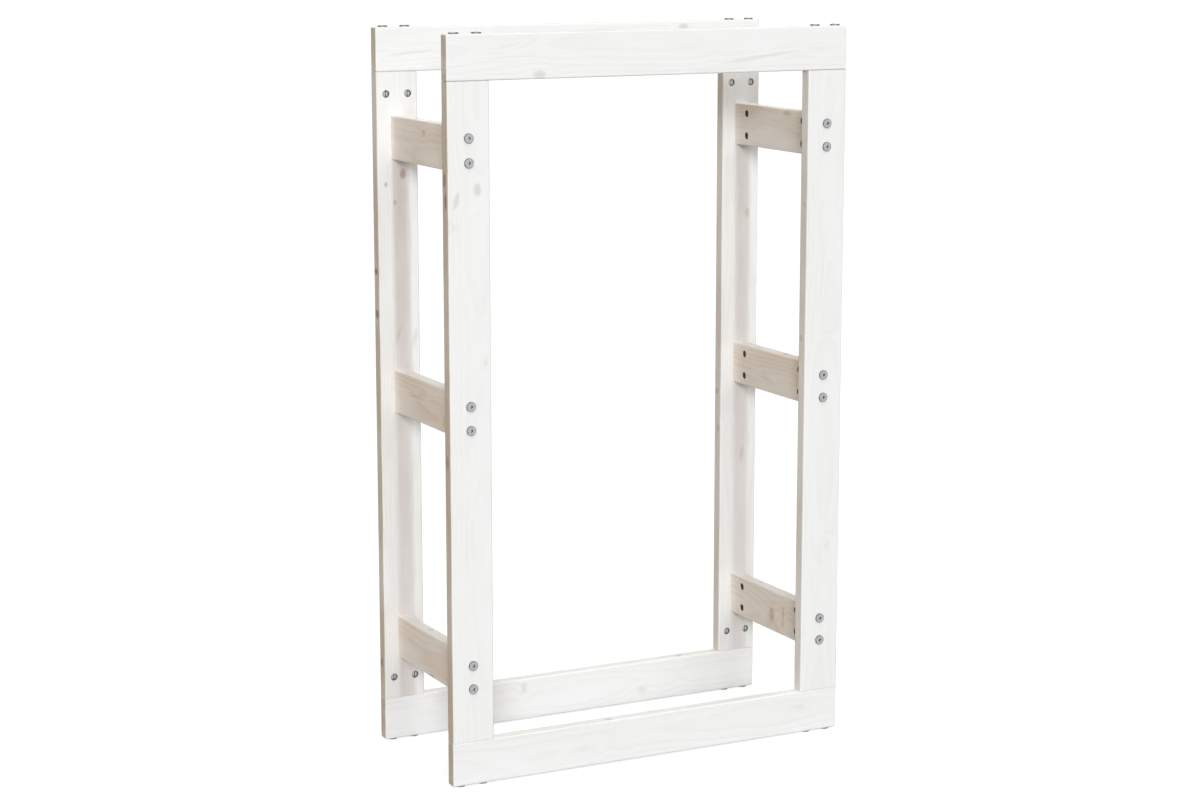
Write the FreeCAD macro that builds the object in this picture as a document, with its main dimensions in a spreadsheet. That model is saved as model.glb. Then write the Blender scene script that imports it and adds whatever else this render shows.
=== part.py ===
import FreeCAD, Part
import os
import Sketcher

# Firewood rack: two bolted board frames, front and rear, held apart by six cross rails.
# The origin is under the middle of the rack. X runs along the width, Y from front to rear, Z up.
# The rack stands on the heads of its lowest bolts, so Z is 0 at their underside.

X_AXIS = FreeCAD.Vector(1, 0, 0)
Y_AXIS = FreeCAD.Vector(0, 1, 0)
Z_AXIS = FreeCAD.Vector(0, 0, 1)

# Sides and levels of the rack, with the sign of each along its axis
DEPTH_SIDES = {"front": -1, "rear": 1}
WIDTH_SIDES = {"left": -1, "right": 1}
FRAME_LEVELS = {"bottom": -1, "top": 1}
CROSS_LEVELS = {"bottom": -1, "middle": 0, "top": 1}
BOTH_WAYS = (-1, 1)

SOCKET_SIDES = 6

# Driving dimensions, in millimetres. Plays are differences of diameter.
DIMENSIONS = {
    "frame_width": 600,
    "frame_height": 1000,
    "rack_depth": 254,  # over the boards, without the bolt heads
    "frame_thickness": 18,  # of the posts and rails
    "cross_thickness": 18,
    "rail_width": 60,
    "post_width": 60,
    "cross_width": 60,
    "edge_radius": 2,
    "cross_rail_gap": 59,  # from a frame's rail to the nearest cross rail
    "bolt_edge_distance": 14,  # from a board's edge to the nearest bolt of a pair
    "bolt_diameter": 6,
    "bolt_hole_play": 1,
    "bolt_tip_reach": 10,  # past the axis of the nut
    "bolt_tip_chamfer": 0.8,
    "bolt_hole_end_room": 2,  # past the tip of the bolt
    "head_diameter": 13,
    "head_height": 2.2,
    "head_chamfer": 0.4,
    "socket_wall": 0.69,  # left in the shank around the corners of the socket
    "socket_depth": 3,
    "nut_wall": 2,  # around the bolt
    "nut_recess": 2,  # below the face of a post
    "cross_nut_recess": 4,  # below the face of a cross rail
    "nut_chamfer": 0.4,
    "nut_hole_play": 0.3,
    "nut_bore_play": 0.3,
    "nut_slot_width": 1.2,
    "nut_slot_depth": 1.5,
    "corner_nut_setback": 30,  # from a post's end to the axis of the nut
    "cross_nut_setback": 32,  # from a cross rail's end to the axis of the nut
}

# Dimensions that follow from the driving ones, as expressions on the sheet
POST_LENGTH = "(Sizes.frame_height - 2 * Sizes.rail_width)"
CROSS_LENGTH = "(Sizes.rack_depth - 2 * Sizes.frame_thickness)"
POST_OFFSET = "(Sizes.frame_width - Sizes.post_width) / 2"
FRAME_OFFSET = "(Sizes.rack_depth - Sizes.frame_thickness) / 2"
RAIL_OFFSET = "(Sizes.frame_height - Sizes.rail_width) / 2"
MIDDLE_LEVEL = "Sizes.head_height + Sizes.frame_height / 2"
CROSS_PITCH = POST_LENGTH + " / 2 - Sizes.cross_rail_gap - Sizes.cross_width / 2"
POST_BOLT_OFFSET = "Sizes.post_width / 2 - Sizes.bolt_edge_distance"
CROSS_BOLT_OFFSET = "Sizes.cross_width / 2 - Sizes.bolt_edge_distance"
BOLT_HOLE = "Sizes.bolt_diameter + Sizes.bolt_hole_play"
NUT_DIAMETER = "Sizes.bolt_diameter + 2 * Sizes.nut_wall"
NUT_HOLE = NUT_DIAMETER + " + Sizes.nut_hole_play"
NUT_BORE = "Sizes.bolt_diameter + Sizes.nut_bore_play"

doc = FreeCAD.newDocument("FirewoodRack")
sizes = doc.addObject("Spreadsheet::Sheet", "Sizes")
for row, (name, value) in enumerate(DIMENSIONS.items(), start=1):
    sizes.set("A%d" % row, name)
    sizes.set("B%d" % row, str(value))
    sizes.setAlias("B%d" % row, name)
doc.recompute()


def amount(expression):
    """The present value of an expression on the sheet."""
    return float(sizes.evalExpression(expression))


def moved(start, *steps):
    """An expression for a place: a start, and steps along signs, each a sign and an expression."""
    return start + "".join(" + (%d) * (%s)" % step for step in steps)


def place(item, rotation, x, y, z):
    """Turns an object and ties its position to expressions."""
    item.Placement = FreeCAD.Placement(FreeCAD.Vector(), rotation)
    for axis, expression in zip("xyz", (x, y, z)):
        item.setExpression("Placement.Base." + axis, expression)


def axes_to(x_direction, z_direction):
    """The rotation that takes an object's own X and Z axes to these directions."""
    return FreeCAD.Rotation(x_direction, z_direction.cross(x_direction), z_direction, "ZXY")


# Sketches and features

def new_sketch(body, name, plane_role, offset="0"):
    """A sketch on an origin plane of its body, moved along the plane's normal."""
    sketch = body.newObject("Sketcher::SketchObject", name)
    plane = [item for item in body.Origin.OriginFeatures if item.Role == plane_role][0]
    sketch.AttachmentSupport = [(plane, "")]
    sketch.MapMode = "FlatFace"
    sketch.setExpression("AttachmentOffset.Base.z", offset)
    return sketch


def across_axis():
    """A sketch's own first axis, in the numbers that constraints take."""
    return -1


def up_axis():
    """A sketch's own second axis, in the numbers that constraints take."""
    return -2


def sketch_origin():
    """A sketch's origin, which is a point of its first axis."""
    return across_axis(), 1


def start_of(line):
    """A line's first point, in the numbers that constraints take."""
    return line, 1


def end_of(line):
    """A line's last point, in the numbers that constraints take."""
    return line, 2


def centre_of(circle):
    """A circle's middle, in the numbers that constraints take."""
    return circle, 3


def relate(sketch, kind, *elements):
    """Adds a constraint without a size to a sketch."""
    sketch.addConstraint(Sketcher.Constraint(kind, *elements))


def dimension(sketch, expression, kind, *elements):
    """Adds a size to a sketch and ties it to an expression."""
    index = sketch.addConstraint(Sketcher.Constraint(kind, *elements, amount(expression)))
    sketch.setExpression("Constraints[%d]" % index, expression)


def add_polygon(sketch, corners):
    """Draws a closed outline through corners and returns its lines."""
    lines = []
    for start, end in zip(corners, corners[1:] + corners[:1]):
        lines.append(sketch.addGeometry(Part.LineSegment(start, end)))
    for line, following in zip(lines, lines[1:] + lines[:1]):
        relate(sketch, "Coincident", *end_of(line), *start_of(following))
    return lines


def add_rectangle(sketch, across, up):
    """Draws a rectangle centred on the sketch's origin."""
    corner = FreeCAD.Vector(amount(across) / 2, amount(up) / 2, 0)
    side = FreeCAD.Vector(-corner.x, corner.y, 0)
    bottom, right, top, left = add_polygon(sketch, [-corner, -side, corner, side])
    for line in (bottom, top):
        relate(sketch, "Horizontal", line)
    for line in (left, right):
        relate(sketch, "Vertical", line)
    relate(sketch, "Symmetric", *start_of(bottom), *end_of(right), *sketch_origin())
    dimension(sketch, across, "DistanceX", *start_of(bottom), *end_of(bottom))
    dimension(sketch, up, "DistanceY", *start_of(right), *end_of(right))


def add_circle(sketch, diameter, across=None, up=None):
    """Draws a circle at the sketch's origin, or moved from it along the sketch's axes."""
    centre = FreeCAD.Vector(amount(across or "0"), amount(up or "0"), 0)
    circle = sketch.addGeometry(Part.Circle(centre, Z_AXIS, amount(diameter) / 2))
    dimension(sketch, diameter, "Diameter", circle)
    for kind, axis, expression in (("DistanceX", up_axis(), across), ("DistanceY", across_axis(), up)):
        if expression is None:
            relate(sketch, "PointOnObject", *centre_of(circle), axis)
        else:
            dimension(sketch, expression, kind, *sketch_origin(), *centre_of(circle))
    return circle


def add_hexagon(sketch, across_corners):
    """Draws a regular hexagon centred on the sketch's origin, with a corner on the across axis."""
    circle = add_circle(sketch, across_corners)
    sketch.toggleConstruction(circle)
    first_corner = X_AXIS * (amount(across_corners) / 2)
    turns = [FreeCAD.Rotation(Z_AXIS, 360 * side / SOCKET_SIDES) for side in range(SOCKET_SIDES)]
    lines = add_polygon(sketch, [turn.multVec(first_corner) for turn in turns])
    for line in lines:
        relate(sketch, "PointOnObject", *start_of(line), circle)
    for line in lines[1:]:
        relate(sketch, "Equal", lines[0], line)
    relate(sketch, "PointOnObject", *start_of(lines[0]), across_axis())


def pad(body, name, sketch, length, turned=False):
    """Grows a sketch into a solid along its normal, or against it if turned."""
    feature = body.newObject("PartDesign::Pad", name)
    feature.Profile = sketch
    feature.Reversed = turned
    feature.setExpression("Length", length)
    doc.recompute()
    return feature


def pocket(body, name, sketch, depth=None, turned=False):
    """Cuts a sketch against its normal, along it if turned, or right through both ways."""
    volume_before = body.Shape.Volume
    feature = body.newObject("PartDesign::Pocket", name)
    feature.Profile = sketch
    if depth is None:
        feature.SideType = "Symmetric"
        feature.Type = "ThroughAll"
    else:
        feature.Reversed = turned
        feature.setExpression("Length", depth)
    doc.recompute()
    if body.Shape.Volume >= volume_before:
        raise RuntimeError("%s cuts nothing from %s" % (name, body.Label))


def dress(body, kind, name, edges, size, expression):
    """Rounds or chamfers edges of the body's last feature."""
    base = body.Tip
    feature = body.newObject(kind, name)
    feature.Base = (base, edges)
    feature.setExpression(size, expression)
    doc.recompute()


def edges_where(body, accepts):
    """Names of the edges of the body's last feature that a test accepts."""
    edges = body.Tip.Shape.Edges
    return ["Edge%d" % index for index, edge in enumerate(edges, start=1) if accepts(edge)]


# Boards, each with its length along its own Z, its width along X and its thickness along Y

def runs_lengthwise(edge):
    """Whether an edge of a board runs along the board's length."""
    direction = edge.tangentAt(edge.FirstParameter)
    return abs(direction.dot(Z_AXIS)) > direction.cross(Z_AXIS).Length


def is_any(edge):
    """Accepts every edge of a board."""
    return True


def make_board(label, width, thickness, length, eased_edges):
    """A plain board with rounded edges, standing on its own origin."""
    body = doc.addObject("PartDesign::Body", label)
    section = new_sketch(body, "Section", "XY_Plane")
    add_rectangle(section, width, thickness)
    pad(body, "Board", section, length)
    dress(body, "PartDesign::Fillet", "EasedEdges", edges_where(body, eased_edges),
          "Radius", "Sizes.edge_radius")
    return body


def drill_ends(body, thickness, length, bolt_offset, nut_setback, nut_recess):
    """Drills a board for a bolt pair in each end, with their nuts let in from its +Y face."""
    bolt_depth = "%s + Sizes.bolt_tip_reach + Sizes.bolt_hole_end_room" % nut_setback
    for name, level, turned in (("FirstEnd", "0", True), ("LastEnd", length, False)):
        holes = new_sketch(body, name + "BoltSketch", "XY_Plane", level)
        for way in BOTH_WAYS:
            add_circle(holes, BOLT_HOLE, across=moved("0", (way, bolt_offset)))
        pocket(body, name + "BoltHoles", holes, bolt_depth, turned)
    seats = new_sketch(body, "NutSketch", "XZ_Plane", "-%s / 2" % thickness)
    for level in (nut_setback, "%s - %s" % (length, nut_setback)):
        for way in BOTH_WAYS:
            add_circle(seats, NUT_HOLE, across=moved("0", (way, bolt_offset)), up=level)
    nut_depth = "%s - %s + Sizes.nut_hole_play" % (thickness, nut_recess)
    pocket(body, "NutHoles", seats, nut_depth, turned=True)


def make_post(label):
    """A post, drilled for the rails at its ends and for three cross rails."""
    body = make_board(label, "Sizes.post_width", "Sizes.frame_thickness", POST_LENGTH, runs_lengthwise)
    drill_ends(body, "Sizes.frame_thickness", POST_LENGTH, POST_BOLT_OFFSET,
               "Sizes.corner_nut_setback", "Sizes.nut_recess")
    holes = new_sketch(body, "CrossBoltSketch", "XZ_Plane")
    for level in CROSS_LEVELS.values():
        for way in BOTH_WAYS:
            height = moved(POST_LENGTH + " / 2", (level, CROSS_PITCH), (way, CROSS_BOLT_OFFSET))
            add_circle(holes, BOLT_HOLE, up=height)
    pocket(body, "CrossBoltHoles", holes)
    return body


def make_rail(label):
    """A frame's top or bottom rail, drilled through its width over the posts."""
    body = make_board(label, "Sizes.rail_width", "Sizes.frame_thickness", "Sizes.frame_width", is_any)
    holes = new_sketch(body, "BoltSketch", "YZ_Plane")
    for side in WIDTH_SIDES.values():
        for way in BOTH_WAYS:
            along = moved("Sizes.frame_width / 2", (side, POST_OFFSET), (way, POST_BOLT_OFFSET))
            add_circle(holes, BOLT_HOLE, up=along)
    pocket(body, "BoltHoles", holes)
    return body


def make_cross_rail(label):
    """A cross rail, drilled in its ends for the bolts that come through the posts."""
    body = make_board(label, "Sizes.cross_width", "Sizes.cross_thickness", CROSS_LENGTH, runs_lengthwise)
    drill_ends(body, "Sizes.cross_thickness", CROSS_LENGTH, CROSS_BOLT_OFFSET,
               "Sizes.cross_nut_setback", "Sizes.cross_nut_recess")
    return body


# Fasteners, each made once and placed as linked copies

def make_bolt(name, length):
    """A socket-head bolt along +Z, with the underside of its flat head on its origin."""
    body = doc.addObject("PartDesign::Body", name)
    head = new_sketch(body, "HeadSketch", "XY_Plane")
    add_circle(head, "Sizes.head_diameter")
    pad(body, "Head", head, "Sizes.head_height", turned=True)
    dress(body, "PartDesign::Chamfer", "HeadRim",
          edges_where(body, lambda edge: edge.Closed and edge.CenterOfMass.z < 0),
          "Size", "Sizes.head_chamfer")
    shank = new_sketch(body, "ShankSketch", "XY_Plane")
    add_circle(shank, "Sizes.bolt_diameter")
    pad(body, "Shank", shank, length)
    dress(body, "PartDesign::Chamfer", "Tip",
          edges_where(body, lambda edge: edge.Closed and edge.CenterOfMass.z > 0),
          "Size", "Sizes.bolt_tip_chamfer")
    socket = new_sketch(body, "SocketSketch", "XY_Plane", "-Sizes.head_height")
    add_hexagon(socket, "Sizes.bolt_diameter - 2 * Sizes.socket_wall")
    pocket(body, "Socket", socket, "Sizes.socket_depth", turned=True)
    return body


def make_barrel_nut(name, length):
    """A barrel nut along Z about its origin, bored along X, with a slot in its +Z end."""
    body = doc.addObject("PartDesign::Body", name)
    barrel = new_sketch(body, "BarrelSketch", "XY_Plane", "-%s / 2" % length)
    add_circle(barrel, NUT_DIAMETER)
    pad(body, "Barrel", barrel, length)
    dress(body, "PartDesign::Chamfer", "Rims", edges_where(body, lambda edge: edge.Closed),
          "Size", "Sizes.nut_chamfer")
    bore = new_sketch(body, "BoreSketch", "YZ_Plane")
    add_circle(bore, NUT_BORE)
    pocket(body, "Bore", bore)
    slot = new_sketch(body, "SlotSketch", "XY_Plane", "%s / 2" % length)
    add_rectangle(slot, NUT_HOLE, "Sizes.nut_slot_width")
    pocket(body, "Slot", slot, "Sizes.nut_slot_depth")
    return body


def make_group(label, copies):
    """A node of linked copies, each given as its model, rotation and place."""
    links = []
    for model, rotation, x, y, z in copies:
        link = doc.addObject("App::Link", label + "_copy")
        link.LinkedObject = model
        place(link, rotation, x, y, z)
        links.append(link)
    group = doc.addObject("Part::Compound", label)
    group.Links = links
    return group


# The assembly

def assemble_frames():
    """The boards of the front and rear frames."""
    nodes = []
    upright = {"front": FreeCAD.Rotation(), "rear": axes_to(-X_AXIS, Z_AXIS)}
    for depth_name, depth_side in DEPTH_SIDES.items():
        y = moved("0", (depth_side, FRAME_OFFSET))
        for width_name, width_side in WIDTH_SIDES.items():
            post = make_post("%s_%s_post" % (depth_name, width_name))
            x = moved("0", (width_side, POST_OFFSET))
            place(post, upright[depth_name], x, y, "Sizes.head_height + Sizes.rail_width")
            nodes.append(post)
        for level_name, level in FRAME_LEVELS.items():
            rail = make_rail("%s_%s_rail" % (depth_name, level_name))
            z = moved(MIDDLE_LEVEL, (level, RAIL_OFFSET))
            place(rail, axes_to(Z_AXIS, X_AXIS), "-Sizes.frame_width / 2", y, z)
            nodes.append(rail)
    return nodes


def assemble_cross_rails():
    """The cross rails, with their nut holes toward the middle of the rack."""
    nodes = []
    for width_name, width_side in WIDTH_SIDES.items():
        for level_name, level in CROSS_LEVELS.items():
            cross_rail = make_cross_rail("%s_%s_cross_rail" % (width_name, level_name))
            place(cross_rail, axes_to(Z_AXIS * -width_side, Y_AXIS), moved("0", (width_side, POST_OFFSET)),
                  "-%s / 2" % CROSS_LENGTH, moved(MIDDLE_LEVEL, (level, CROSS_PITCH)))
            nodes.append(cross_rail)
    return nodes


def assemble_corner_fasteners():
    """The bolts through the rails into the posts' ends, and their nuts."""
    length = "Sizes.rail_width + Sizes.corner_nut_setback + Sizes.bolt_tip_reach"
    bolt = make_bolt("CornerBolt", length)
    nut = make_barrel_nut("CornerNut", "(Sizes.frame_thickness - 2 * Sizes.nut_recess)")
    nodes = []
    for depth_name, depth_side in DEPTH_SIDES.items():
        y = moved("0", (depth_side, FRAME_OFFSET))
        nut_turn = axes_to(Z_AXIS, Y_AXIS * -depth_side)
        for width_name, width_side in WIDTH_SIDES.items():
            places = [moved("0", (width_side, POST_OFFSET), (way, POST_BOLT_OFFSET)) for way in BOTH_WAYS]
            for level_name, level in FRAME_LEVELS.items():
                corner = "%s_%s_%s_corner" % (depth_name, width_name, level_name)
                bolt_turn = FreeCAD.Rotation(Z_AXIS, Z_AXIS * -level)
                head_level = moved(MIDDLE_LEVEL, (level, "Sizes.frame_height / 2"))
                nut_level = moved(MIDDLE_LEVEL, (level, POST_LENGTH + " / 2 - Sizes.corner_nut_setback"))
                bolts = [(bolt, bolt_turn, x, y, head_level) for x in places]
                nuts = [(nut, nut_turn, x, y, nut_level) for x in places]
                nodes.append(make_group(corner + "_bolts", bolts))
                nodes.append(make_group(corner + "_nuts", nuts))
    return nodes


def assemble_cross_fasteners():
    """The bolts through the posts into the cross rails' ends, and their nuts."""
    length = "Sizes.frame_thickness + Sizes.cross_nut_setback + Sizes.bolt_tip_reach"
    bolt = make_bolt("CrossBolt", length)
    nut = make_barrel_nut("CrossNut", "(Sizes.cross_thickness - 2 * Sizes.cross_nut_recess)")
    nodes = []
    for width_name, width_side in WIDTH_SIDES.items():
        x = moved("0", (width_side, POST_OFFSET))
        nut_turn = axes_to(Y_AXIS, X_AXIS * -width_side)
        for level_name, level in CROSS_LEVELS.items():
            bolts = []
            nuts = []
            for depth_side in DEPTH_SIDES.values():
                bolt_turn = FreeCAD.Rotation(Z_AXIS, Y_AXIS * -depth_side)
                head_place = moved("0", (depth_side, "Sizes.rack_depth / 2"))
                nut_place = moved("0", (depth_side, CROSS_LENGTH + " / 2 - Sizes.cross_nut_setback"))
                for way in BOTH_WAYS:
                    z = moved(MIDDLE_LEVEL, (level, CROSS_PITCH), (way, CROSS_BOLT_OFFSET))
                    bolts.append((bolt, bolt_turn, x, head_place, z))
                    nuts.append((nut, nut_turn, x, nut_place, z))
            cross_rail = "%s_%s_cross_rail" % (width_name, level_name)
            nodes.append(make_group(cross_rail + "_bolts", bolts))
            nodes.append(make_group(cross_rail + "_nuts", nuts))
    return nodes


def check_and_write(nodes):
    """Stops at a faulty object, and otherwise writes one file per node."""
    for item in doc.Objects:
        if "Invalid" in item.State or "Error" in item.State:
            raise RuntimeError("%s could not be built" % item.Label)
    os.makedirs("parts", exist_ok=True)
    for node in nodes:
        if node.Shape.isNull() or not node.Shape.isValid():
            raise RuntimeError("%s has no valid shape" % node.Label)
        node.Shape.exportStep("parts/%s.step" % node.Label)


all_nodes = assemble_frames() + assemble_cross_rails()
all_nodes += assemble_corner_fasteners() + assemble_cross_fasteners()
doc.recompute()
check_and_write(all_nodes)
print("%d nodes, %d solids" % (len(all_nodes), sum(len(node.Shape.Solids) for node in all_nodes)))
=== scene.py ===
import math

import bpy
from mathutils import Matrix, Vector


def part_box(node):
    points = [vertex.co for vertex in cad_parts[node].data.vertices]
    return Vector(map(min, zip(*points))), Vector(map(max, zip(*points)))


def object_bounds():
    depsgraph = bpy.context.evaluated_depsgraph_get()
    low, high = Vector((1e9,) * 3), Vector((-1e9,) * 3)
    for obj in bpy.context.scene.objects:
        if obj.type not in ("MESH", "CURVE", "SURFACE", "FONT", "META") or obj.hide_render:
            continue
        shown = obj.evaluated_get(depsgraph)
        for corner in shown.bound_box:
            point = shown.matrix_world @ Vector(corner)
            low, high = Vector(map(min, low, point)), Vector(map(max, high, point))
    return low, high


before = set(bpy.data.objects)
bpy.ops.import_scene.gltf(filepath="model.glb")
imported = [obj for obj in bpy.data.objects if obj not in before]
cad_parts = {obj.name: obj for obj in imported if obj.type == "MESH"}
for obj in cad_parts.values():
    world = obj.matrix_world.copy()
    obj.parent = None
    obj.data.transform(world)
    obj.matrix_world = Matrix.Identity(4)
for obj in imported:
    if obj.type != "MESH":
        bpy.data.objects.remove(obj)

# A white-washed pine firewood rack with zinc plated bolts and barrel nuts.
# All lengths are in metres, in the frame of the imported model: X across, Y to the rear, Z up.
cad_low, cad_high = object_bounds()
RACK_MIDDLE = (cad_low + cad_high) / 2

# The axes that a board's length, width and thickness lie along
POST_AXES = (2, 0, 1)
RAIL_AXES = (0, 2, 1)
CROSS_AXES = (1, 2, 0)

# The axis of each kind of fastener, the diameter of its end, and the width of the painted shade round
# the end's rim
FASTENERS = {
    "_corner_bolts": (2, 0.013, 0.0010),
    "_cross_rail_bolts": (1, 0.013, 0.0010),
    "_corner_nuts": (1, 0.010, 0.0016),
    "_cross_rail_nuts": (0, 0.010, 0.0016),
}

# Colours, linear
WHITE = (1.0, 1.0, 1.0)
WASH = (0.905, 0.902, 0.893)
CREAM_WOOD = (0.79, 0.59, 0.41)
GREY_WOOD = (0.59, 0.515, 0.415)
TAN_WOOD = (0.62, 0.48, 0.32)
LATEWOOD = (0.51, 0.41, 0.30)
# Painted shade: the darker, warmer wood in the strip down the rear posts' front faces
SHADE_BAND_WOOD = (0.485, 0.38, 0.32)
KNOT_WOOD = (0.20, 0.11, 0.06)
# Painted shade: the insides of the bores, unwashed wood darkened where shade falls
BORE_SHADE = (0.09, 0.06, 0.04)
ZINC_PALE = (0.45, 0.455, 0.455)
ZINC_DULL = (0.34, 0.345, 0.345)
# Painted shade for the fasteners' rims and socket walls, and a painted highlight for their middles
ZINC_RIM_SHADE = (0.12, 0.12, 0.12)
ZINC_HIGHLIGHT = (0.55, 0.555, 0.555)
ZINC_WALL_SHADE = (0.24, 0.24, 0.24)
ZINC_DEEP_SHADE = (0.05, 0.05, 0.05)

# The axes and the wood of each kind of board, and how much of the wood shows through the wash on its
# faces and on its sides. On the posts' sides and the cross rails' faces that is partly painted shade:
# the tan, most on the left posts' sides and the right top cross rail, stands in for the warm shade on
# faces turned away from the lamps
BOARDS = {
    "front_left_post": (POST_AXES, GREY_WOOD, 0.05, 0.90),
    "rear_left_post": (POST_AXES, GREY_WOOD, 0.15, 0.70),
    "rear_right_post": (POST_AXES, GREY_WOOD, 0.15, 0.44),
    "front_right_post": (POST_AXES, GREY_WOOD, 0.05, 0.32),
    # Painted shade: this cross rail's darker tan wood stands in for shade
    "right_top_cross_rail": (CROSS_AXES, TAN_WOOD, 0.42, 0.03),
    "_cross_rail": (CROSS_AXES, CREAM_WOOD, 0.38, 0.03),
    "_rail": (RAIL_AXES, GREY_WOOD, 0.05, 0.07),
}
# How much wood shows on a board's ends, how much more shows in late rings, in fibres and on worn
# corners, and the most that shows anywhere
END_SHOWN = 0.85
RING_SHOWN = 0.06
FIBRE_SHOWN = 0.03
WORN_SHOWN = 0.20
MOST_SHOWN = 0.9
# How far late rings go towards the colour of latewood
LATE_SHADE = 0.45

# The middle value of a random field
NOISE_MIDDLE = 0.5
# How close together a board's random fields change, along the grain and across it
FIBRE_SCALE = (14.0, 420.0)
WANDER_SCALE = (2.6, 7.0)
CLOUD_SCALE = (7.0, 22.0)
# The values of the fibre field and the cloud field between which the wash goes from thick to thin
FIBRE_RANGE = (0.35, 0.75)
CLOUD_RANGE = (0.3, 0.7)
WORN_FIBRE_RANGE = (0.35, 0.7)
WORN_CLOUD_RANGE = (0.5, 0.7)
# What the clouds multiply the wood that shows by: on bare places, in late rings and in the painted
# shade bands
BARE_PATCHES = (0.65, 1.35)
RING_PATCHES = (0.3, 1.0)
SHADE_BAND_PATCHES = (0.85, 1.15)

# The spacing of the growth rings, how far they wander, and how far a knot pushes them
RING_SPACING = 0.0046
RING_WANDER = 0.034
RING_PUSH = 0.003
# The parts of a ring over which latewood sets in and ends
LATE_START = (0.30, 0.92)
LATE_END = (0.93, 1.0)
# How far the pith lies aside of a board's middle at most, how far behind or to the right of it, and
# how much that changes from board to board
PITH_ASIDE = 0.018
PITH_DISTANCE = 0.030
PITH_CHANGE = 0.012
# Steps from one node to the next that give each board a grain of its own
SEED_STEP = 3.7
PITH_ASIDE_STEP = 2.4
PITH_DISTANCE_STEP = 1.7

# Depths under a board's surface over which its skin, its end grain and its corners begin
SKIN = (0.0010, 0.0002)
END_SKIN = (0.0004, 0.0001)
CORNER = (0.0030, 0.0006)
# The values of the skin field between which the painted shade in the bores turns into washed wood
BORE_RANGE = (0.0, 0.3)
# How rough the pine is, the sums of fibre and cloud between which that changes, and how glossy it is
PINE_ROUGHNESS = (0.74, 0.92)
PINE_ROUGH_RANGE = (0.7, 1.3)
PINE_GLOSS = 0.03
# The parts of late rings and fibres in the pine's relief
LATE_RELIEF = 0.5
FIBRE_RELIEF = 0.8

# Depths under a fastener's end over which the painted shade on its walls begins, and over which it ends
WALL_START = (0.0003, 0.0008)
WALL_END = (0.0030, 0.0027)
# Distances from a fastener's axis over which the deepest painted shade on the walls of its socket or
# slot ends, and over which the painted highlight in its middle begins
SOCKET_EDGE = (0.0045, 0.0055)
MIDDLE_EDGE = (0.0026, 0.0018)
# How ragged the edges of the painted shade on the rim and of the painted highlight in the middle are
ZINC_RAGGED = 0.0012
# How close together the spangles and the turning marks in the zinc are, and their parts in its relief
SPANGLE_SCALE = 900.0
TURNING_SCALE = 9000.0
SPANGLE_RELIEF = 0.4
TURNING_RELIEF = 0.6
# The values of the spangle field between which the zinc goes from pale to dull
SPANGLE_RANGE = (0.3, 0.7)
# How rough the zinc is, the sums of spangles and turning marks between which that changes, and the
# tint of what it reflects at low angles
ZINC_ROUGHNESS = (0.40, 0.60)
ZINC_ROUGH_RANGE = (0.6, 1.4)
ZINC_TINT = (0.30, 0.30, 0.30, 1.0)

# Painted shade: a darker, warmer strip down the rear posts' front faces, below the top cross rails,
# drawn as thin wash over darker wood where shade falls: how much wood shows in its lower and upper
# part, and how far below and above the post's middle that changes
SHADE_BANDS = {"rear_left_post": (0.46, 0.55), "rear_right_post": (0.42, 0.52)}
SHADE_BAND_CHANGE = 0.2
# The painted shade strip's top end, the length over which it fades there, its middle across the post,
# its half width, and the squared distances from its middle, in half widths, over which it sets in
SHADE_BAND_TOP = 0.37
SHADE_BAND_FADE = 0.05
SHADE_BAND_MIDDLE = 0.0045
SHADE_BAND_HALF_WIDTH = 0.0135
SHADE_BAND_EDGE = (2.0, 0.0)

# Squared distances from a mark's middle, in its half sizes, over which it sets in and over which it
# pushes the rings aside, and how ragged the fibres make its edge
MARK_EDGE = (1.5, 0.1)
PUSH_EDGE = (9.0, 0.0)
MARK_RAGGED = 1.2
# How strongly the marks on a board's front or left face show on its other face
FAR_FACE_MARKS = 0.4
# How dark a mark is where knot wood begins to show, and where nothing else shows
KNOT_RANGE = (0.02, 0.3)

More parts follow.
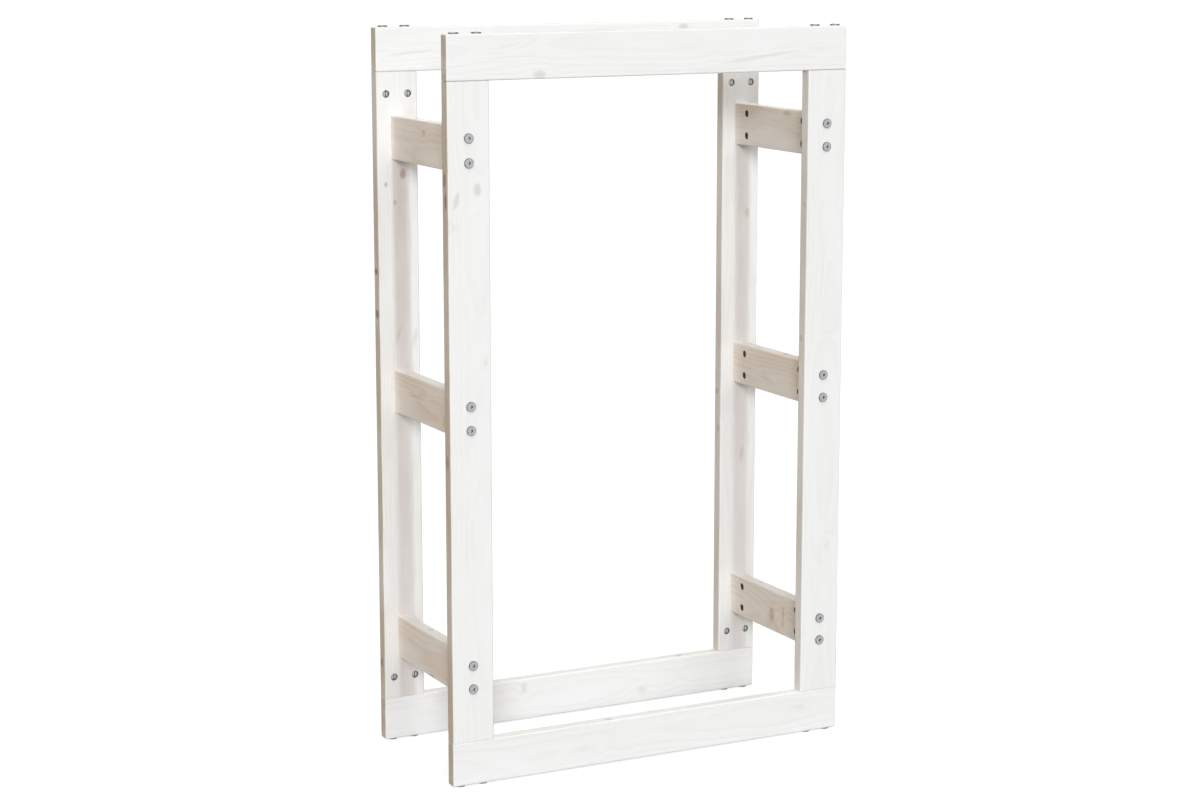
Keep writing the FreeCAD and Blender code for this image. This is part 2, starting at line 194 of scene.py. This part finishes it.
# Knots and dark streaks on each board's faces: place along the length and across the width from the
# board's middle, half length, half width, slope across the grain, and how dark the mark shows
FACE_MARKS = {
    "front_left_post": (
        (0.300, 0.012, 0.010, 0.006, 0.0, 0.22),
        (0.287, -0.018, 0.012, 0.004, 0.2, 0.20),
        (0.252, -0.022, 0.006, 0.003, 0.0, 0.10),
        (0.073, 0.022, 0.006, 0.004, 0.0, 0.10),
    ),
    "front_right_post": (
        (-0.230, 0.010, 0.009, 0.005, 0.0, 0.10),
        (0.150, -0.004, 0.030, 0.002, 0.05, 0.07),
    ),
    "rear_left_post": (
        (0.301, 0.007, 0.009, 0.005, 0.0, 0.20),
        (0.287, -0.018, 0.004, 0.003, 0.0, 0.28),
        (0.262, -0.005, 0.004, 0.003, 0.0, 0.15),
        (0.078, -0.002, 0.014, 0.003, 0.3, 0.09),
        (0.073, 0.022, 0.012, 0.004, 0.2, 0.12),
    ),
    "rear_right_post": (
        (-0.140, 0.006, 0.012, 0.004, 0.1, 0.10),
        (0.220, 0.012, 0.008, 0.004, 0.0, 0.12),
    ),
    "front_top_rail": (
        (-0.168, -0.024, 0.010, 0.007, 0.0, 0.20),
        (-0.212, 0.014, 0.020, 0.0025, 0.2, 0.10),
        (0.160, -0.010, 0.060, 0.003, 0.12, 0.14),
        (0.256, 0.0, 0.016, 0.003, 0.0, 0.08),
    ),
    "front_bottom_rail": (
        (0.238, 0.008, 0.010, 0.004, 0.0, 0.10),
        (0.101, 0.014, 0.014, 0.003, 0.1, 0.08),
        (-0.108, -0.005, 0.012, 0.004, 0.0, 0.08),
    ),
    "rear_top_rail": (
        (0.174, 0.021, 0.009, 0.006, 0.0, 0.22),
        (-0.248, -0.005, 0.040, 0.0025, 0.1, 0.12),
    ),
    "rear_bottom_rail": (
        (-0.083, 0.017, 0.005, 0.009, 0.0, 0.16),
        (0.110, -0.012, 0.010, 0.006, 0.0, 0.12),
    ),
    "left_top_cross_rail": ((-0.002, 0.014, 0.008, 0.005, 0.0, 0.14),),
    "left_middle_cross_rail": ((0.030, 0.006, 0.030, 0.003, -0.15, 0.10),),
    "left_bottom_cross_rail": ((-0.009, -0.030, 0.012, 0.006, 0.0, 0.20),),
    "right_top_cross_rail": ((-0.036, 0.024, 0.012, 0.004, 0.0, 0.14),),
    "right_middle_cross_rail": ((0.010, -0.012, 0.020, 0.004, 0.1, 0.12),),
    "right_bottom_cross_rail": (
        (-0.010, -0.006, 0.009, 0.012, 0.0, 0.18),
        (-0.042, -0.004, 0.004, 0.020, 0.3, 0.14),
    ),
}
# Knots that run across the boards and show on their sides: the same numbers, with the thickness for
# the width
SIDE_MARKS = {
    "front_left_post": (
        (-0.058, 0.001, 0.012, 0.006, 0.0, 0.15),
        (0.286, -0.002, 0.013, 0.004, 0.0, 0.21),
        (0.313, 0.001, 0.011, 0.005, 0.0, 0.19),
    ),
    "front_right_post": (
        (0.069, 0.001, 0.006, 0.005, 0.0, 0.16),
        (0.255, -0.003, 0.005, 0.003, 0.0, 0.12),
    ),
    "rear_left_post": (
        (0.167, 0.001, 0.005, 0.006, 0.0, 0.22),
        (0.108, -0.001, 0.008, 0.006, 0.0, 0.22),
        (-0.389, 0.002, 0.008, 0.006, 0.0, 0.17),
    ),
    "rear_right_post": (
        (-0.044, 0.002, 0.006, 0.005, 0.0, 0.16),
        (-0.099, -0.002, 0.006, 0.004, 0.0, 0.14),
    ),
    "front_top_rail": ((0.092, 0.001, 0.008, 0.005, 0.0, 0.30),),
    "front_bottom_rail": ((-0.064, -0.001, 0.007, 0.004, 0.0, 0.25),),
    "rear_top_rail": ((-0.118, -0.002, 0.006, 0.004, 0.0, 0.30),),
    "rear_bottom_rail": ((0.176, 0.001, 0.008, 0.005, 0.0, 0.25),),
    "left_top_cross_rail": ((0.044, 0.001, 0.006, 0.004, 0.0, 0.25),),
    "left_middle_cross_rail": ((-0.050, -0.002, 0.005, 0.003, 0.0, 0.20),),
    "left_bottom_cross_rail": ((0.018, 0.002, 0.006, 0.004, 0.0, 0.25),),
    "right_top_cross_rail": ((0.062, -0.001, 0.005, 0.004, 0.0, 0.20),),
    "right_middle_cross_rail": ((-0.024, 0.001, 0.006, 0.004, 0.0, 0.25),),
    "right_bottom_cross_rail": ((0.040, 0.002, 0.005, 0.003, 0.0, 0.20),),
}

# The floor: how far it reaches, how far it lies below the rack, its grey, and how much it glows where
# it is looked at
FLOOR_REACH = 80.0
FLOOR_DROP = 0.0003
FLOOR_GREY = (0.38, 0.38, 0.38, 1.0)
FLOOR_GLOW = 0.78

# Colours of the light: all round, from the front, from the left, from high in front, from above and
# from behind
ROOM_LIGHT = (1.0, 0.80, 0.50)
DAYLIGHT = (0.96, 1.0, 1.06)
LEFT_LIGHT = (1.0, 0.86, 0.72)
STRIP_LIGHT = (0.93, 1.0, 1.05)
TOP_LIGHT = (0.90, 1.0, 1.06)
BACK_LIGHT = (0.97, 0.99, 1.02)
# How far away the far lamps are placed. Their light is the same from any distance
LAMP_DISTANCE = 5.0


class Field:
    """A number that varies over a surface: an output of a shader node."""

    def __init__(self, tree, socket):
        self.tree = tree
        self.socket = socket

    def math(self, operation, *others):
        node = self.tree.nodes.new("ShaderNodeMath")
        node.operation = operation
        for slot, value in zip(node.inputs, (self, *others)):
            give(self.tree, slot, value)
        return Field(self.tree, node.outputs[0])

    def __add__(self, other):
        return self.math("ADD", other)

    def __sub__(self, other):
        return self.math("SUBTRACT", other)

    def __mul__(self, other):
        return self.math("MULTIPLY", other)

    def __truediv__(self, other):
        return self.math("DIVIDE", other)

    def size(self):
        return self.math("ABSOLUTE")

    def square(self):
        return self.math("MULTIPLY", self)

    def larger(self, other):
        return self.math("MAXIMUM", other)

    def ramp(self, start, end, low=0.0, high=1.0):
        """Goes smoothly from low to high while this field goes from start to end."""
        node = self.tree.nodes.new("ShaderNodeMapRange")
        node.interpolation_type = "SMOOTHSTEP"
        for slot, value in zip(node.inputs, (self, start, end, low, high)):
            give(self.tree, slot, value)
        return Field(self.tree, node.outputs[0])


def give(tree, slot, value):
    """Links a field or an output to an input, or sets the input's own value."""
    if isinstance(value, Field):
        value = value.socket
    if isinstance(value, bpy.types.NodeSocket):
        tree.links.new(value, slot)
    else:
        slot.default_value = value


def blend(tree, factor, first, second):
    """A colour that goes from first to second as factor goes from 0 to 1."""
    node = tree.nodes.new("ShaderNodeMix")
    node.data_type = "RGBA"
    give(tree, node.inputs["Factor"], factor)
    colours = [slot for slot in node.inputs if slot.type == "RGBA"]
    for slot, colour in zip(colours, (first, second)):
        give(tree, slot, (*colour, 1.0) if isinstance(colour, tuple) else colour)
    return [slot for slot in node.outputs if slot.type == "RGBA"][0]


def noise(tree, coordinates, detail=2.0, roughness=0.5):
    """A soft random field over coordinates that are already scaled."""
    point = tree.nodes.new("ShaderNodeCombineXYZ")
    for slot, value in zip(point.inputs, coordinates):
        give(tree, slot, value)
    node = tree.nodes.new("ShaderNodeTexNoise")
    give(tree, node.inputs["Vector"], point.outputs[0])
    give(tree, node.inputs["Scale"], 1.0)
    give(tree, node.inputs["Detail"], detail)
    give(tree, node.inputs["Roughness"], roughness)
    return Field(tree, node.outputs[0])


def new_material(name):
    """A material with its node tree and its surface shader."""
    material = bpy.data.materials.new(name)
    material.use_nodes = True
    tree = material.node_tree
    return material, tree, tree.nodes["Principled BSDF"]


def bump(tree, shader, height, depth, strength):
    """Raises the surface by a height field, where 1 is as high as depth."""
    node = tree.nodes.new("ShaderNodeBump")
    give(tree, node.inputs["Strength"], strength)
    give(tree, node.inputs["Distance"], depth)
    give(tree, node.inputs["Height"], height)
    give(tree, shader.inputs["Normal"], node.outputs[0])


def places(tree, name, axes):
    """Distances from a node's middle along some axes, with half its size along each."""
    low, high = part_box(name)
    middle = (low + high) / 2
    half = (high - low) / 2
    parts = tree.nodes.new("ShaderNodeSeparateXYZ")
    coordinates = tree.nodes.new("ShaderNodeTexCoord")
    give(tree, parts.inputs[0], coordinates.outputs["Object"])
    fields = [Field(tree, parts.outputs[axis]) - middle[axis] for axis in axes]
    return fields, [half[axis] for axis in axes]


def under(place, reach, start, end):
    """Goes from 0 to 1 between two depths under the surfaces that lie at reach from the middle."""
    return place.size().ramp(reach - start, reach - end)


def near_marks(along, across, ragged, marks):
    """How dark some marks make each point, and how far they push the grain aside."""
    darkness = None
    push = None
    for mark_along, mark_across, half_length, half_width, slope, depth in marks:
        ahead = along - mark_along
        aside = across - mark_across - ahead * slope
        distance = (ahead / half_length).square() + (aside / half_width).square() + ragged
        spot = distance.ramp(*MARK_EDGE, 0.0, depth)
        bulge = distance.ramp(*PUSH_EDGE)
        darkness = spot if darkness is None else darkness.larger(spot)
        push = bulge if push is None else push.larger(bulge)
    return darkness, push


def white_pine(name, index, axes, earlywood, face_wood_and_shade, side_wood_and_shade):
    """White-washed pine with its grain along a board and rings on the board's ends."""
    material, tree, shader = new_material(name + "_pine")
    (along, across, through), half = places(tree, name, axes)
    seed = SEED_STEP * index

    def grain(along_scale, cross_scale, **settings):
        """A random field that is drawn out along the board."""
        point = (along * along_scale + seed, across * cross_scale, through * cross_scale)
        return noise(tree, point, **settings)

    fibre = grain(*FIBRE_SCALE, detail=3.0, roughness=0.6)
    ragged = (fibre - NOISE_MIDDLE) * MARK_RAGGED
    darkness, push = near_marks(along, across, ragged, FACE_MARKS[name])
    side_darkness, side_push = near_marks(along, through, ragged, SIDE_MARKS[name])
    face_strength = through.ramp(half[2], -half[2], FAR_FACE_MARKS, 1.0)
    darkness = (darkness * face_strength).larger(side_darkness)
    push = push.larger(side_push)

    # Growth rings round a pith outside the board
    pith_across = PITH_ASIDE * math.sin(PITH_ASIDE_STEP * index)
    pith_through = PITH_DISTANCE + PITH_CHANGE * math.cos(PITH_DISTANCE_STEP * index)
    wander = grain(*WANDER_SCALE)
    radius = ((across - pith_across).square() + (through - pith_through).square()).math("SQRT")
    radius = radius + wander * RING_WANDER + push * RING_PUSH
    ring = (radius / RING_SPACING).math("FRACT")
    late = ring.ramp(*LATE_START) - ring.ramp(*LATE_END)

    # The brushed wash, and where it is thin
    cloud = grain(*CLOUD_SCALE, detail=3.0, roughness=0.55)
    at_end, at_side, at_face = [
        under(place, reach, *SKIN) for place, reach in zip((along, across, through), half)
    ]
    outside = at_face.larger(at_side).larger(at_end)
    end_grain = under(along, half[0], *END_SKIN)
    corner = under(across, half[1], *CORNER) * under(through, half[2], *CORNER)
    worn = corner * cloud.ramp(*WORN_CLOUD_RANGE)
    # On the posts' sides and the cross rails' faces, part of this wood is painted shade
    bare = at_side.ramp(0.0, 1.0, face_wood_and_shade, side_wood_and_shade).larger(end_grain * END_SHOWN)
    shown = bare * cloud.ramp(*CLOUD_RANGE, *BARE_PATCHES)
    shown = shown + late * cloud.ramp(*CLOUD_RANGE, *RING_PATCHES) * RING_SHOWN
    shown = shown + fibre.ramp(*FIBRE_RANGE, 0.0, FIBRE_SHOWN)
    shown = shown + worn * fibre.ramp(*WORN_FIBRE_RANGE, 0.0, WORN_SHOWN)

    wood = blend(tree, late * LATE_SHADE, earlywood, LATEWOOD)
    # Painted shade: a strip of thin wash over darker, warmer wood down the rear posts' front faces
    if name in SHADE_BANDS:
        aside = ((across - SHADE_BAND_MIDDLE) / SHADE_BAND_HALF_WIDTH).square() + ragged
        below_top = along.ramp(SHADE_BAND_TOP, SHADE_BAND_TOP - SHADE_BAND_FADE)
        in_front = through.ramp(0.0, -half[2])
        strip = aside.ramp(*SHADE_BAND_EDGE) * below_top * in_front
        band_shade = along.ramp(-SHADE_BAND_CHANGE, SHADE_BAND_CHANGE, *SHADE_BANDS[name])
        band_shade = band_shade * cloud.ramp(*CLOUD_RANGE, *SHADE_BAND_PATCHES)
        shown = shown.larger(strip * band_shade)
        wood = blend(tree, strip, wood, SHADE_BAND_WOOD)

    # Knots, and the insides of the bores: unwashed wood darkened to near black as painted shade
    shown = (shown + darkness).math("MINIMUM", MOST_SHOWN)
    wood = blend(tree, darkness.ramp(*KNOT_RANGE), wood, KNOT_WOOD)
    washed = blend(tree, shown, WASH, wood)
    colour = blend(tree, outside.ramp(*BORE_RANGE), BORE_SHADE, washed)
    give(tree, shader.inputs["Base Color"], colour)
    roughness = (fibre + cloud).ramp(*PINE_ROUGH_RANGE, *PINE_ROUGHNESS)
    give(tree, shader.inputs["Roughness"], roughness)
    give(tree, shader.inputs["Specular IOR Level"], PINE_GLOSS)
    relief = late * LATE_RELIEF + fibre * FIBRE_RELIEF + darkness
    bump(tree, shader, relief, depth=0.0004, strength=0.5)
    return material


def zinc_steel(name, axis, diameter, rim):
    """Zinc plated steel with turning marks, painted shade on rim and walls and a painted highlight."""
    material, tree, shader = new_material(name + "_zinc")
    around = [other for other in range(3) if other != axis]
    fields, half = places(tree, name, around)
    end_radius = diameter / 2
    # The fasteners stand at the corners of their group, so this is measured from the nearest one's axis
    squares = [(field.size() - (size - end_radius)).square() for field, size in zip(fields, half)]
    radius = (squares[0] + squares[1]).math("SQRT")
    (along,), (end,) = places(tree, name, [axis])
    walls = under(along, end, *WALL_START) * under(along, end, *WALL_END)
    everywhere = places(tree, name, range(3))[0]
    spangle = noise(tree, [field * SPANGLE_SCALE for field in everywhere], detail=3.0, roughness=0.6)
    turned = noise(tree, (radius * TURNING_SCALE, 0.0, 0.0), detail=1.0)
    plate = blend(tree, spangle.ramp(*SPANGLE_RANGE), ZINC_PALE, ZINC_DULL)
    ragged = radius + (spangle - NOISE_MIDDLE) * ZINC_RAGGED
    # Painted shade on the rim and the socket walls, and a painted highlight in the middle
    plate = blend(tree, ragged.ramp(end_radius - rim, end_radius), plate, ZINC_RIM_SHADE)
    plate = blend(tree, ragged.ramp(*MIDDLE_EDGE), plate, ZINC_HIGHLIGHT)
    wall = blend(tree, radius.ramp(*SOCKET_EDGE), ZINC_DEEP_SHADE, ZINC_WALL_SHADE)
    plate = blend(tree, walls, plate, wall)
    give(tree, shader.inputs["Base Color"], plate)
    give(tree, shader.inputs["Metallic"], 1.0)
    give(tree, shader.inputs["Specular Tint"], ZINC_TINT)
    roughness = (spangle + turned).ramp(*ZINC_ROUGH_RANGE, *ZINC_ROUGHNESS)
    give(tree, shader.inputs["Roughness"], roughness)
    relief = turned * TURNING_RELIEF + spangle * SPANGLE_RELIEF
    bump(tree, shader, relief, depth=0.00005, strength=0.4)
    return material


def dress(name, material):
    """Gives a CAD node its material."""
    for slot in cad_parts[name].material_slots:
        slot.link = "OBJECT"
        slot.material = material


def kind_of(name, kinds):
    """The first of some kinds that a node's name ends with."""
    return next((kind for kind in kinds if name.endswith(kind)), None)


def dress_nodes():
    """Gives every board its own pine and every group of fasteners its own zinc."""
    for index, name in enumerate(sorted(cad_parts)):
        fastener = kind_of(name, FASTENERS)
        if fastener:
            dress(name, zinc_steel(name, *FASTENERS[fastener]))
        else:
            dress(name, white_pine(name, index, *BOARDS[kind_of(name, BOARDS)]))


def looked_at(tree, path):
    """1 for rays that show a thing itself, in the picture or in a reflection, and 0 for its light."""
    seen = Field(tree, path.outputs["Is Camera Ray"])
    for kind in ("Is Glossy Ray", "Is Transmission Ray"):
        seen = seen.larger(path.outputs[kind])
    return seen


def add_floor():
    """A plain floor under the rack that looks white and keeps the rack's shadow."""
    mesh = bpy.data.meshes.new("Floor")
    signs = ((-1, -1), (1, -1), (1, 1), (-1, 1))
    corners = [(side * FLOOR_REACH, rear * FLOOR_REACH, 0.0) for side, rear in signs]
    mesh.from_pydata(corners, [], [(0, 1, 2, 3)])
    floor = bpy.data.objects.new("Floor", mesh)
    floor.location.z = -FLOOR_DROP
    bpy.context.collection.objects.link(floor)
    material, tree, shader = new_material("Floor_paper")
    path = tree.nodes.new("ShaderNodeLightPath")
    give(tree, shader.inputs["Base Color"], FLOOR_GREY)
    give(tree, shader.inputs["Emission Color"], (*WHITE, 1.0))
    give(tree, shader.inputs["Emission Strength"], looked_at(tree, path) * FLOOR_GLOW)
    give(tree, shader.inputs["Roughness"], 0.9)
    give(tree, shader.inputs["Specular IOR Level"], 0.0)
    mesh.materials.append(material)


def add_world(colour, strength):
    """Even light from all round, with a white background."""
    world = bpy.data.worlds.new("Studio")
    bpy.context.scene.world = world
    world.use_nodes = True
    tree = world.node_tree
    tree.nodes.clear()
    path = tree.nodes.new("ShaderNodeLightPath")
    lights = []
    for tint, level in ((colour, strength), (WHITE, 1.0)):
        node = tree.nodes.new("ShaderNodeBackground")
        give(tree, node.inputs["Color"], (*tint, 1.0))
        give(tree, node.inputs["Strength"], level)
        lights.append(node.outputs[0])
    mix = tree.nodes.new("ShaderNodeMixShader")
    for slot, value in zip(mix.inputs, (looked_at(tree, path), *lights)):
        give(tree, slot, value)
    output = tree.nodes.new("ShaderNodeOutputWorld")
    give(tree, output.inputs["Surface"], mix.outputs[0])


def toward(azimuth, elevation):
    """The direction to a place seen at an azimuth, with 0 in front of the rack, and an elevation."""
    turn = math.radians(azimuth)
    rise = math.radians(elevation)
    level = math.cos(rise)
    return Vector((math.sin(turn) * level, -math.cos(turn) * level, math.sin(rise)))


def place_lamp(light, azimuth, elevation, distance, colour):
    """Puts a lamp round the rack's middle, facing it."""
    light.color = colour
    lamp = bpy.data.objects.new(light.name, light)
    direction = toward(azimuth, elevation)
    lamp.location = RACK_MIDDLE + direction * distance
    lamp.rotation_mode = "QUATERNION"
    lamp.rotation_quaternion = direction.to_track_quat("Z", "Y")
    bpy.context.collection.objects.link(lamp)


def add_panel(name, azimuth, elevation, distance, size, level, colour):
    """A round soft panel. At level 1, white paper at the rack that faces it renders white."""
    light = bpy.data.lights.new(name, "AREA")
    light.shape = "DISK"
    light.size = size
    light.energy = level * (math.pi * distance) ** 2
    place_lamp(light, azimuth, elevation, distance, colour)


def add_lamp(name, azimuth, elevation, spread, level, colour):
    """A soft lamp far away. At level 1, white paper that faces it renders white."""
    light = bpy.data.lights.new(name, "SUN")
    light.angle = math.radians(spread)
    light.energy = math.pi * level
    place_lamp(light, azimuth, elevation, LAMP_DISTANCE, colour)


def add_strip(name, azimuth, elevations, spread, level, colour):
    """Lamps one above the other that light as one tall soft strip."""
    for number, elevation in enumerate(elevations):
        add_lamp(f"{name}_{number}", azimuth, elevation, spread, level / len(elevations), colour)


def add_camera():
    """The photograph's camera: in front, to the left, and looking slightly down."""
    data = bpy.data.cameras.new("Camera")
    data.lens = 80.14
    data.sensor_width = 36.0
    data.clip_end = 300.0
    camera = bpy.data.objects.new("Camera", data)
    camera.location = (-1.6815, -3.2656, 1.1579)
    down = 10.396
    azimuth = -27.03
    camera.rotation_euler = (math.radians(90 - down), 0.0, math.radians(azimuth))
    bpy.context.collection.objects.link(camera)
    bpy.context.scene.camera = camera


dress_nodes()
add_floor()
add_world(ROOM_LIGHT, strength=0.20)
# Lamps, with their azimuths and elevations in degrees
add_panel("Camera_Soft", -25, 18, distance=24.0, size=8.0, level=0.62, colour=DAYLIGHT)
add_lamp("Fill_Soft", 12, 40, spread=30, level=0.185, colour=DAYLIGHT)
add_lamp("Left_Soft", -85, 20, spread=40, level=0.12, colour=LEFT_LIGHT)
add_strip("Front_Soft", -1.5, range(60, 90, 6), spread=3, level=0.19, colour=STRIP_LIGHT)
add_lamp("Top_Soft", 0, 84, spread=40, level=0.12, colour=TOP_LIGHT)
add_lamp("Back_Soft", 152, 5, spread=30, level=0.90, colour=BACK_LIGHT)
add_camera()
bpy.context.scene.view_settings.view_transform = "Standard"
